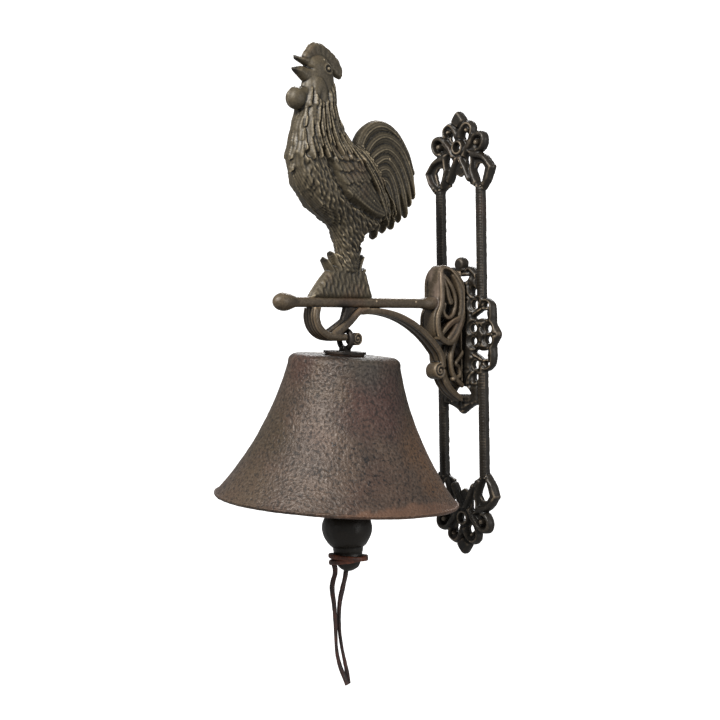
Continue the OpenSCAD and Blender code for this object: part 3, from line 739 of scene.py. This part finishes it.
def bracket_scroll(block, y, z):
    """The long scroll against the plate, with the ribbons wound inside it."""
    loop = [(-26.5, 46.2), (-30.2, 40), (-30.3, 28), (-31.4, 19), (-35.0, 11), (-34.2, 0), (-29, -5.4),
            (-21.6, -6.6), (-14.2, 1.2), (-8.6, 13.5), (-7.4, 25.5), (-10.6, 36), (-18, 44.6)]
    loop = curve(loop, 5, closed=True).tolist()
    ring = band(y, z, loop + loop[:1], 1.6)
    half = 9.0 - 3.4 * np.clip((z - 29) / 18, 0, 1) ** 2
    dist = spread(block, ring, half, 1.0, scroll_lips)
    side = band(y, z, curve([(-14, 41), (-10.6, 33), (-9.6, 23), (-11.2, 13), (-16.6, 3), (-23, -4)]),
                3.4, 2.2)
    dist = soft_min(dist, spread(block, side, half - 1.0, 1.6), 0.8)
    wound = band(y, z, curve([(-29.5, 42.5), (-22.5, 36), (-17.6, 27.5), (-16.8, 19.5), (-19.4, 13),
                              (-24.6, 10.8), (-28.8, 14.6), (-27.6, 20.4)]), 1.8, 1.2)
    tongue = band(y, z, curve([(-27.4, 37), (-25, 31), (-23.4, 25.6), (-21.4, 22)]), 1.2, 2.3)
    sweep = band(y, z, curve([(-33.5, -3.6), (-27.8, 1.8), (-19.8, 7.6), (-11, 10.4)]), 1.5, 2.2)
    inner = union(wound, tongue, sweep, blend=0.5)
    return soft_min(dist, spread(block, inner, half - 0.8, 1.0, two_flutes), 0.6)


def scroll_lips(across):
    """Two lines along the broad ribbon's face and a raised lip at each edge."""
    return 0.5 * np.exp(-((across - 5.6) / 0.8) ** 2) - 0.5 * np.exp(-((across - 8.0) / 0.8) ** 2)


# ---------- Turned shapes ----------
def lumps(points, size, seed):
    """Smooth seeded noise at points in mm, about -1 to 1."""
    place = np.asarray(points) / size
    low = np.floor(place.min(axis=0)).astype(int)
    place = place - low
    first = np.floor(place).astype(int)
    t = place - first
    t = t * t * (3 - 2 * t)
    cells = first.max(axis=0) + 2
    field = np.random.default_rng(seed).standard_normal(cells)
    total = 0.0
    for corner in range(8):
        step = np.array([corner & 1, corner >> 1 & 1, corner >> 2 & 1])
        share = np.prod(np.where(step, t, 1 - t), axis=1)
        total = total + share * field[tuple((first + step).T)]
    return total


def turned(name, profile, sides, place, bumps=(), closed=True):
    """A profile of (radius, depth) points turned about an axis that hangs down from place."""
    profile = np.asarray(profile, float)
    turns = np.arange(sides) * 2 * math.pi / sides
    count = len(profile)
    points = np.zeros((sides, count, 3))
    points[..., 0] = np.cos(turns)[:, None] * profile[:, 0]
    points[..., 1] = np.sin(turns)[:, None] * profile[:, 0]
    points[..., 2] = -profile[:, 1]
    if bumps:
        run = np.gradient(profile, axis=0)
        run /= np.maximum(np.hypot(run[:, 0], run[:, 1]), 1e-9)[:, None]
        out = np.zeros_like(points)
        out[..., 0] = np.cos(turns)[:, None] * run[:, 1]
        out[..., 1] = np.sin(turns)[:, None] * run[:, 1]
        out[..., 2] = run[:, 0]
        flat = points.reshape(-1, 3)
        for size, height, seed in bumps:
            points += out * (height * lumps(flat, size, seed)).reshape(sides, count, 1)
    rows = np.arange(count if closed else count - 1)
    a = np.arange(sides)[:, None] * count
    b = (np.arange(sides)[:, None] + 1) % sides * count
    after = (rows + 1) % count
    quads = np.stack([a + rows, a + after, b + after, b + rows], axis=2).reshape(-1, 4)
    points = points.reshape(-1, 3) @ place[:3, :3].T + place[:3, 3]
    return grid_mesh(name, points, quads)


def frame_at(origin, turn_x, turn_y):
    """A place in mm, turned about X and then about Y as the CAD part turns it."""
    turn = Matrix.Rotation(turn_y, 4, "Y") @ Matrix.Rotation(turn_x, 4, "X")
    place = np.array(turn)
    place[:3, 3] = origin
    return place


BELL_PLACE = frame_at(HANG_POINT, -LEAN_OUT, LEAN_SIDE)
CLAPPER_PLACE = frame_at(CLAPPER_PIVOT, 0.0, -CLAPPER_LEAN)


# The flare is an arc seen from the side: its centre's distance from the axis, radius, and rise
FLARE_OUT = 247.93
FLARE_R = 215
FLARE_RISE = 28.31
WALL = 4.0


def bell_radius(depth, wall=0.0):
    """Radius of the bell's flare at a depth below the hanging point."""
    return FLARE_OUT - np.sqrt((FLARE_R + wall) ** 2 - (depth + FLARE_RISE) ** 2)


def make_bell():
    outer = np.arange(19.0, 108.6, 0.75)
    inner = np.arange(107.5, 23, -2.0)
    corner = arc((32.6, 17.9), 5.6, -90, -10, 9)
    lip = arc((81.0, 108.8), 2.0, -20, 150, 9)
    roof = arc((31.5, 20.7), 3.5, 0, -90, 4)
    profile = np.concatenate([
        np.stack([np.linspace(4.4, 32.0, 24), np.full(24, 12.3)], 1), corner,
        np.stack([bell_radius(outer), outer], 1), lip,
        np.stack([bell_radius(inner, WALL), inner], 1), roof,
        np.stack([np.linspace(30, 4.4, 14), np.full(14, 17.2)], 1)])
    return turned("bell_casting", profile, 400, BELL_PLACE,
                  ((2.1, 0.06, 21), (3.8, 0.05, 22), (14, 0.10, 23)))


def make_clapper_ball():
    ball = arc((0, 72), 16.8, -84, 52, 40)
    neck = curve([ball[-1], (10.1, 87.5), (9.7, 89.4), (9.9, 91), (9.4, 92.6)], 5)[1:]
    cap = arc((0, 92.4), 8.9, 12, 88, 18)
    profile = np.concatenate([[(2.8, 58.0)], [(2.8, 55.4)], ball, neck, cap, [(0.02, 101.3)]])
    return turned("clapper_ball_casting", profile, 120, CLAPPER_PLACE, ((3.0, 0.10, 31), (9, 0.12, 32)),
                  closed=False)


def make_leather_washer():
    edge = [(13.0 + 0.5 * math.cos(t), 11.5 + 0.62 * math.sin(t)) for t in np.linspace(-1.5, 1.5, 9)]
    profile = [(4.5, 10.85), (8, 10.82)] + edge + [(8, 12.15), (4.5, 12.15)]
    return turned("leather_washer_disc", profile, 96, BELL_PLACE, ((2.0, 0.06, 41), (6, 0.12, 42)))


# ---------- Leather lace ----------
# The strands' routes below the clapper's eye: across the view, towards it, and down
LEFT_ROUTE = [(-7.6, 7.2, 95.6), (-6.8, 6.4, 99.2), (-7, 5, 103), (-8.2, 3.8, 107), (-9, 3, 111.5),
              (-8.8, 2.4, 117), (-8, 2, 123), (-7.5, 2, 130), (-7.2, 2, 138), (-7, 2, 146),
              (-6.7, 2, 154), (-5.6, 2, 161), (-3.8, 2, 167.5), (-1.4, 2, 173.5), (0.3, 2, 178)]
RIGHT_ROUTE = [(1.5, -8.4, 95.6), (0.9, -7.4, 99.5), (0.2, -6, 104), (-0.8, -4.8, 109),
               (-2.4, -3.8, 115), (-3.8, -3, 121), (-4.6, -2.5, 128), (-4.8, -2.2, 136),
               (-4.4, -2.2, 144), (-3.4, -2.2, 152), (-2, -2.2, 160), (-0.4, -2.2, 168),
               (0.5, -2.2, 173.5), (0.8, -2.2, 178)]
LACE_WIDTH = 3.4
LACE_THICK = 2.3


def tube(name, line, width, thick, turns, closed=False, seed=0):
    """A flat strip with soft edges swept along a line; turns is its first and last angle and face."""
    count = len(line)
    if closed:
        run = np.roll(line, -1, axis=0) - np.roll(line, 1, axis=0)
    else:
        run = np.gradient(line, axis=0)
    run /= np.linalg.norm(run, axis=1)[:, None]
    u = np.cross(run, turns[2])
    u /= np.linalg.norm(u, axis=1)[:, None]
    v = np.cross(run, u)
    angles = np.radians(np.linspace(turns[0], turns[1], count))
    sides = 20
    rim = np.arange(sides) * 2 * math.pi / sides
    flat_a = np.sign(np.cos(rim)) * np.abs(np.cos(rim)) ** 0.6 * width / 2
    flat_b = np.sign(np.sin(rim)) * np.abs(np.sin(rim)) ** 0.75 * thick / 2
    points = np.zeros((count, sides, 3))
    for i in range(count):
        c, s = math.cos(angles[i]), math.sin(angles[i])
        a = c * u[i] + s * v[i]
        b = c * v[i] - s * u[i]
        points[i] = line[i] + flat_a[:, None] * a + flat_b[:, None] * b
    middle = line[:, None, :]
    flat = points.reshape(-1, 3)
    uneven = 1 + 0.05 * lumps(flat, 2.0, 50 + seed) + 0.04 * lumps(flat, 6.0, 60 + seed)
    points = middle + (points - middle) * uneven.reshape(count, sides, 1)
    ring = np.arange(count if closed else count - 1)[:, None]
    here, after = ring * sides, (ring + 1) % count * sides
    side = np.arange(sides)
    beside = (side + 1) % sides
    quads = np.stack([here + side, here + beside, after + beside, after + side], 2)
    quads = quads.reshape(-1, 4).tolist()
    points = points.reshape(-1, 3)
    if not closed:
        points = np.concatenate([points, line[:1], line[-1:]])
        start, stop = count * sides, count * sides + 1
        last = (count - 1) * sides
        for k in range(sides):
            quads.append([start, (k + 1) % sides, k])
            quads.append([stop, last + k, last + (k + 1) % sides])
    return face_mesh(name, points, quads)


def make_lace(name, node, route, turns, seed):
    line = curve([CLAPPER_PIVOT + as_seen(*step) for step in route], 5)
    strand = tube(name, line, LACE_WIDTH, LACE_THICK, turns, seed=seed)
    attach(strand, "clapper_body")
    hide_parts(node)
    return strand


def make_hitch():
    """The lace's two turns round the clapper's tail, crossing at the front."""
    pieces = []
    for i, (tilt, middle, drop) in enumerate(((6.5, 11.9, 93.6), (-6.5, 12.1, 91.8))):
        sweep = np.arange(72) * 2 * math.pi / 72
        ring = np.stack([middle * np.cos(sweep), middle * np.sin(sweep), -drop + 0 * sweep], 1)
        ring[:, 2] += ring @ as_seen(1, 0, 0) * math.tan(math.radians(tilt))
        ring = ring @ CLAPPER_PLACE[:3, :3].T + CLAPPER_PLACE[:3, 3]
        pieces.append(tube(f"lace_turn_{i + 1}", ring, LACE_THICK + 0.5, LACE_WIDTH - 0.3,
                           (0, 0, (0, 0, 1)), closed=True, seed=5 + i))
    return pieces


# ---------- Materials ----------
def rgb(red, green, blue):
    """A colour from 0 to 255 values, as light."""
    return tuple(((c / 255 + 0.055) / 1.055) ** 2.4 if c > 10 else c / 255 / 12.92
                 for c in (red, green, blue)) + (1.0,)


def darker(color, share):
    return tuple(share * part for part in color[:3]) + (1,)


class Nodes:
    """Short calls for a material's nodes."""

    def __init__(self, name):
        self.material = bpy.data.materials.new(name)
        self.material.use_nodes = True
        self.tree = self.material.node_tree
        self.shader = self.tree.nodes["Principled BSDF"]
        self.spot = self.tree.nodes.new("ShaderNodeTexCoord").outputs["Object"]

    def link(self, value, socket):
        if isinstance(value, bpy.types.NodeSocket):
            self.tree.links.new(value, socket)
        else:
            socket.default_value = value

    def node(self, kind, **inputs):
        """A new node with these inputs, each a number, a colour or another node's output."""
        node = self.tree.nodes.new("ShaderNode" + kind)
        for name, value in inputs.items():
            self.link(value, node.inputs[name])
        return node

    def noise(self, scale, detail=4.0, rough=0.55):
        return self.node("TexNoise", Vector=self.spot, Scale=scale, Detail=detail,
                         Roughness=rough).outputs["Fac"]

    def cells(self, scale):
        return self.node("TexVoronoi", Vector=self.spot, Scale=scale).outputs["Distance"]

    def ramp(self, value, low, high, start=0.0, stop=1.0):
        node = self.node("MapRange", Value=value)
        node.clamp = True
        for name, number in zip(("From Min", "From Max", "To Min", "To Max"), (low, high, start, stop)):
            self.link(number, node.inputs[name])
        return node.outputs["Result"]

    def math(self, operation, a, b):
        node = self.node("Math")
        node.operation = operation
        self.link(a, node.inputs[0])
        self.link(b, node.inputs[1])
        return node.outputs[0]

    def mix(self, share, first, second):
        node = self.node("Mix")
        node.data_type = "RGBA"
        self.link(share, node.inputs["Factor"])
        self.link(first, node.inputs["A"])
        self.link(second, node.inputs["B"])
        return node.outputs["Result"]

    def pointy(self):
        return self.node("NewGeometry").outputs["Pointiness"]

    def height(self):
        """Height above the origin, in metres."""
        return self.node("SeparateXYZ", Vector=self.spot).outputs["Z"]

    def near(self, point, reach):
        """1 at a point in mm, fading to 0 at this reach."""
        node = self.node("VectorMath")
        node.operation = "DISTANCE"
        self.tree.links.new(self.spot, node.inputs[0])
        node.inputs[1].default_value = tuple(float(value) * MM for value in point)
        return self.ramp(node.outputs["Value"], reach * MM, reach * MM * 0.25)

    def bump(self, value, distance, strength=1.0, under=None):
        node = self.node("Bump", Distance=distance, Strength=strength, Height=value)
        if under is not None:
            self.link(under, node.inputs["Normal"])
        return node.outputs["Normal"]

    def finish(self, color, roughness, normal, metallic=0.0):
        self.link(color, self.shader.inputs["Base Color"])
        self.link(roughness, self.shader.inputs["Roughness"])
        self.link(normal, self.shader.inputs["Normal"])
        self.shader.inputs["Metallic"].default_value = metallic
        return self.material


def iron_material(name, deep, body, wear_and_highlight, rust, grain=900.0, rust_from=0.6, rough=0.45, painted_shade_at=(),
                  painted_highlight_at=()):
    """Old cast iron with a little rust: painted shade in its hollows, and lighter edges that are partly
    wear, partly painted highlight.

    The last two arguments place painted shade and painted highlights: each a point in mm and how far it
    reaches.
    """
    n = Nodes(name)
    wide = n.noise(28, 3)
    patches = n.noise(95, 5)
    fine = n.noise(grain, 3, 0.6)
    color = n.mix(n.ramp(patches, 0.35, 0.68), body, darker(body, 0.66))
    color = n.mix(n.ramp(fine, 0.42, 0.62, 0, 0.35), color, deep)
    color = n.mix(n.ramp(wide, rust_from, rust_from + 0.14, 0, 0.55), color, rust)
    # Painted shade: hollows, found by pointiness, take the deep colour.
    edge = n.math("ADD", n.pointy(), n.ramp(patches, 0.3, 0.7, -0.012, 0.012))
    color = n.mix(n.ramp(edge, 0.507, 0.468, 0, 0.97), color, deep)
    # Lighter edges, found by pointiness: partly wear, partly painted highlight.
    color = n.mix(n.ramp(edge, 0.515, 0.61, 0, 0.85), color, wear_and_highlight)
    # Painted highlights: a pale pinkish sheen at the given places.
    for spot, reach in painted_highlight_at:
        area = n.math("MULTIPLY", n.near(np.array(spot), reach), n.ramp(patches, 0.42, 0.6))
        color = n.mix(n.ramp(area, 0.1, 0.9, 0, 0.45), color, rgb(146, 128, 116))
    # Painted shade: the deep colour at the given places.
    for spot, reach in painted_shade_at:
        color = n.mix(n.ramp(n.near(np.array(spot), reach), 0, 0.6, 0, 0.85), color, deep)
    roughness = n.ramp(patches, 0.3, 0.7, rough - 0.08, rough + 0.1)
    normal = n.bump(fine, 0.00018, 0.7)
    normal = n.bump(n.cells(grain * 0.5), 0.000252, 0.35, under=normal)
    n.shader.inputs["Specular IOR Level"].default_value = 0.42
    return n.finish(color, roughness, normal, 0.15)


def bell_material():
    """The bell's coarse sand cast skin, brown grey with reddish and olive areas, and patches of painted
    shade.
    """
    n = Nodes("bell_iron_skin")
    wide = n.noise(16, 2)
    patches = n.noise(60, 5)
    grit = n.noise(700, 3, 0.6)
    lumpy = n.noise(520, 2, 0.5)
    color = n.mix(n.ramp(patches, 0.36, 0.66), rgb(74, 59, 48), rgb(54, 42, 34))
    color = n.mix(n.ramp(wide, 0.54, 0.68, 0, 0.5), color, rgb(74, 50, 40))
    color = n.mix(n.ramp(wide, 0.44, 0.34, 0, 0.4), color, rgb(62, 54, 38))
    drift = n.ramp(patches, 0.3, 0.7, -0.25, 0.25)
    # Patches placed as the camera sees them: reddish, tan and olive areas of the skin; the dark one at
    # the crown is painted shade, and the olive one at the left edge is partly painted shade.
    for spot, reach, share, tint_and_shade in (((-58, 20, 62), 40, 0.75, rgb(58, 48, 32)),
                                     ((66, 10, 80), 50, 0.8, rgb(104, 74, 47)),
                                     ((0, 10, 0), 46, 0.85, rgb(34, 27, 23)),
                                     ((20, 36, 44), 34, 0.7, rgb(66, 40, 34)),
                                     ((-34, 24, 12), 26, 0.6, rgb(66, 42, 34)),
                                     ((14, 34, 22), 20, 0.6, rgb(50, 50, 44)),
                                     ((-66, 40, 104), 34, 0.5, rgb(80, 66, 50))):
        area = n.math("ADD", n.near(HANG_POINT + as_seen(*spot), reach), drift)
        color = n.mix(n.ramp(area, 0.15, 0.8, 0, share), color, tint_and_shade)
    color = n.mix(n.ramp(lumpy, 0.48, 0.36, 0, 0.75), color, rgb(18, 14, 12))
    color = n.mix(n.ramp(grit, 0.50, 0.36, 0, 0.35), color, rgb(26, 21, 18))
    color = n.mix(n.ramp(lumpy, 0.56, 0.68, 0, 0.12), color, rgb(132, 122, 114))
    pitted = n.ramp(n.near(HANG_POINT + as_seen(18, 60, 80), 44), 0, 1, -0.08, 0.02)
    pits = n.math("ADD", n.noise(300, 2, 0.5), pitted)
    color = n.mix(n.ramp(pits, 0.63, 0.68, 0, 0.92), color, rgb(12, 9, 8))
    low = n.math("ADD", n.height(), n.ramp(patches, 0.3, 0.7, -0.004, 0.004))
    rusty = n.near(HANG_POINT + as_seen(50, 60, 108), 70)
    low = n.math("ADD", low, n.ramp(rusty, 0, 1, 0.003, -0.001))
    color = n.mix(n.ramp(low, -0.1112, -0.1140, 0, 0.5), color, rgb(106, 76, 58))
    color = n.mix(n.ramp(n.pointy(), 0.54, 0.64, 0, 0.5), color, rgb(134, 104, 84))
    normal = n.bump(lumpy, 0.0009, 0.95)
    normal = n.bump(grit, 0.00025, 0.7, under=normal)
    n.shader.inputs["Specular IOR Level"].default_value = 0.45
    return n.finish(color, n.ramp(lumpy, 0.35, 0.65, 0.62, 0.46), normal, 0.15)


def steel_material(name, light, dark, rough):
    """Old fittings: dull metal, darker in patches, with a fine scratchy grain."""
    n = Nodes(name)
    patches = n.noise(180, 4)
    wear = n.noise(420, 5, 0.6)
    fine = n.noise(1400, 2)
    color = n.mix(n.ramp(patches, 0.4, 0.6), light, dark)
    color = n.mix(n.ramp(wear, 0.5, 0.64, 0, 0.6), color, darker(dark, 0.4))
    normal = n.bump(fine, 0.00006, 0.6)
    normal = n.bump(wear, 0.00012, 0.5, under=normal)
    return n.finish(color, n.ramp(patches, 0.3, 0.7, rough, rough + 0.2), normal, 0.4)


def leather_material(name, dark, edge):
    """Greasy leather: dark, with its own colour along rubbed edges."""
    n = Nodes(name)
    grain = n.noise(700, 4, 0.6)
    patches = n.noise(120, 3)
    cracks = n.cells(900)
    color = n.mix(n.ramp(patches, 0.40, 0.62), dark, edge)
    color = n.mix(n.ramp(grain, 0.45, 0.62, 0, 0.5), color, darker(dark, 0.35))
    color = n.mix(n.ramp(n.pointy(), 0.515, 0.56, 0, 0.8), color, edge)
    normal = n.bump(grain, 0.0002, 0.6)
    normal = n.bump(cracks, 0.0001, 0.4, under=normal)
    return n.finish(color, n.ramp(grain, 0.3, 0.7, 0.45, 0.68), normal)


def paint(obj, material):
    obj.data.materials.clear()
    obj.data.materials.append(material)


# ---------- Stage ----------
def make_stage():
    """A wide pale floor that curves up all round, far enough away to be seen from any side."""
    floor_z, far, rise, bend = -1.7, 4.0, 6.0, 1.2
    profile = [(0.02, floor_z), (far - bend, floor_z)]
    for i in range(1, 13):
        t = math.radians(90 * i / 12)
        profile.append((far - bend + bend * math.sin(t), floor_z + bend - bend * math.cos(t)))
    profile.append((far, rise))
    profile = np.array([(r, -z) for r, z in profile]) / MM
    stage = turned("stage_floor", profile, 96, np.eye(4), closed=False)
    n = Nodes("pale_stage")
    tone = n.mix(n.ramp(n.noise(3, 2), 0.3, 0.7), (0.86, 0.86, 0.85, 1), (0.88, 0.88, 0.87, 1))
    n.shader.inputs["Emission Color"].default_value = (1, 1, 1, 1)
    n.shader.inputs["Emission Strength"].default_value = 0.95
    paint(stage, n.finish(tone, 0.9, n.bump(n.noise(60, 2), 0.0002, 0.1)))
    stage.visible_diffuse = False
    stage.visible_glossy = False


def area_light(name, across, toward, up, size, power, color=(1, 1, 1)):
    """A soft light placed as the camera sees it, in metres from the object's middle."""
    middle = Vector((0, -0.08, -0.02))
    data = bpy.data.lights.new(name, "AREA")
    data.shape = "DISK"
    data.size = size
    data.energy = power
    data.color = color
    lamp = bpy.data.objects.new(name, data)
    lamp.location = middle + Vector(as_seen(across, toward, -up))
    lamp.rotation_euler = (middle - lamp.location).to_track_quat("-Z", "Y").to_euler()
    bpy.context.scene.collection.objects.link(lamp)


def make_lights():
    world = bpy.data.worlds.new("soft_white")
    world.use_nodes = True
    background = world.node_tree.nodes["Background"]
    background.inputs["Color"].default_value = (1, 1, 1, 1)
    background.inputs["Strength"].default_value = 0.4
    bpy.context.scene.world = world
    bpy.context.scene.view_settings.view_transform = "Standard"
    area_light("key", -0.75, 1.1, 1.05, 0.5, 48, (1, 0.97, 0.92))
    area_light("fill", 1.3, 0.9, 0.3, 0.7, 8)
    area_light("back", 0.3, -1.6, 1.2, 1.0, 24)


# ---------- Everything together ----------
make_camera()
lace_left = make_lace("lace_strand_left", "lace_left", LEFT_ROUTE, (10, 190, (1, 0, 0)), 1)
lace_right = make_lace("lace_strand_right", "lace_right", RIGHT_ROUTE, (60, -100, (1, 0, 0)), 2)
make_stage()
make_lights()

# Painted shade inside the scroll, under the bar and low by the wall; painted highlights on the front of
# the scroll's upper part.
DARK_IRON = iron_material("dark_iron_skin", rgb(9, 7, 5), rgb(90, 77, 60), rgb(190, 168, 140),
                          rgb(80, 54, 40), rust_from=0.58,
                          painted_shade_at=(((0, -121, 13), 12), ((0, -21, 38), 7), ((0, -21, 30), 9),
                                   ((0, -21, 21), 9), ((0, -23, 12), 8.5), ((0, -22, 3), 7),
                                   ((0, -14, -10), 9), ((0, -13, -22), 9)),
                          painted_highlight_at=(((0, -31, 38), 14), ((3, -32, 24), 9)))
PLATE_IRON = iron_material("plate_iron_skin", rgb(8, 6, 4), rgb(36, 31, 24), rgb(184, 164, 138),
                           rgb(72, 50, 38))
# Darker at the beak tips, and painted shade among the mound's leaves under the body and the tail.
ROOSTER_IRON = iron_material("rooster_iron_skin", rgb(12, 10, 7), rgb(84, 75, 58), rgb(186, 170, 140),
                             rgb(88, 66, 48), rough=0.5,
                             painted_shade_at=(((0, -161, 182), 7), ((0, -162, 172.5), 7), ((0, -137, 52), 7),
                                      ((0, -131, 57), 7), ((0, -101, 56), 8), ((0, -99, 45), 6)))
CLAPPER_IRON = iron_material("clapper_iron_skin", rgb(9, 8, 6), rgb(34, 28, 19), rgb(66, 56, 42),
                             rgb(40, 30, 22), grain=600, rust_from=0.62, rough=0.42)
BELL_IRON = bell_material()
STEEL = steel_material("worn_steel", rgb(92, 80, 64), rgb(40, 33, 27), 0.4)
DARK_STEEL = steel_material("dark_fittings", rgb(46, 38, 31), rgb(22, 18, 15), 0.5)
LEATHER = leather_material("lace_leather", rgb(12, 7, 6), rgb(60, 29, 19))
HITCH_LEATHER = leather_material("hitch_leather", rgb(32, 18, 12), rgb(116, 60, 36))
WASHER_LEATHER = leather_material("washer_leather", rgb(30, 20, 15), rgb(70, 50, 36))

PIECES = [(make_rooster(), "root", "rooster", "dark_iron", ROOSTER_IRON),
          (make_plate(), "root", "wall_plate", "dark_iron", PLATE_IRON),
          (make_bracket(), "root", "bracket", "dark_iron", DARK_IRON),
          (make_bell(), "bell_body", "bell", "bell_iron", BELL_IRON),
          (make_leather_washer(), "bell_body", "leather_washer", "leather", WASHER_LEATHER),
          (make_clapper_ball(), "clapper_body", "clapper_ball", "dark_iron", CLAPPER_IRON)]
PIECES += [(turn, "clapper_body", "lace_hitch", "leather", HITCH_LEATHER) for turn in make_hitch()]
for piece, body, node, slot, material in PIECES:
    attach(piece, body)
    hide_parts(node)
    paint(piece, material)
for piece in (lace_left, lace_right):
    paint(piece, LEATHER)
for node in ("bracket_bolts", "rooster_pins", "inner_washer", "inner_nut", "clapper_eye_nut",
             "clapper_link", "clapper_rod"):
    paint(frame["nodes"][node], STEEL)
for node in ("bracket_washers", "bracket_nuts", "bell_eye_bolt", "crown_washer"):
    paint(frame["nodes"][node], DARK_STEEL)
